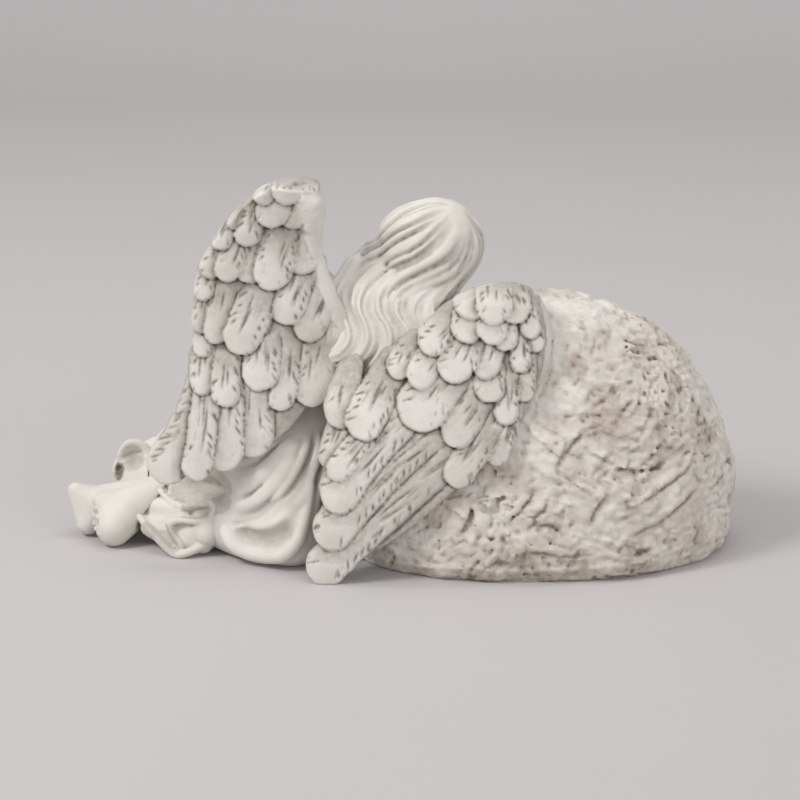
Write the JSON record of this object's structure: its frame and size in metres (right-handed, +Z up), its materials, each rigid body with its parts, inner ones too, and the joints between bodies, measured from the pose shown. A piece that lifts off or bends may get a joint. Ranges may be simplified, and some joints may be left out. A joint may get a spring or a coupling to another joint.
{
  "type": "figurine",
  "caption": "Ivory resin figurine of a reclining winged figure in a long gown, leaning against a large rough rock; stands on a flat base.",
  "frame": {"origin": "on the surface the figurine stands on, under the middle of its bounding box", "axes": "+X runs from the feet to the rock, +Y is the side the face and chest turn to, +Z is up"},
  "size_m": [0.304, 0.132, 0.168],
  "materials": {
    "resin": "matt cast resin, ivory, with a grey-brown antique wash in the hollows",
    "steel": "plain drawn rod",
    "rubber": "matt black"
  },
  "bodies": {
    "root": {"rock_shell": "resin", "base_plate": "resin", "vent_plug": "rubber", "gown_skirt": "resin", "gown_hem": "resin", "torso": "resin", "head": "resin", "hair": "resin", "left_arm": "resin", "right_arm": "resin", "left_foot": "resin", "right_foot": "resin", "left_wing": "resin", "right_wing": "resin", "left_wing_pins": "steel", "right_wing_pins": "steel", "neck_pin": "steel", "left_arm_pin": "steel", "ankle_pins": "steel", "waist_dowel": "steel", "rock_dowels": "steel"}
  },
  "joints": []
}
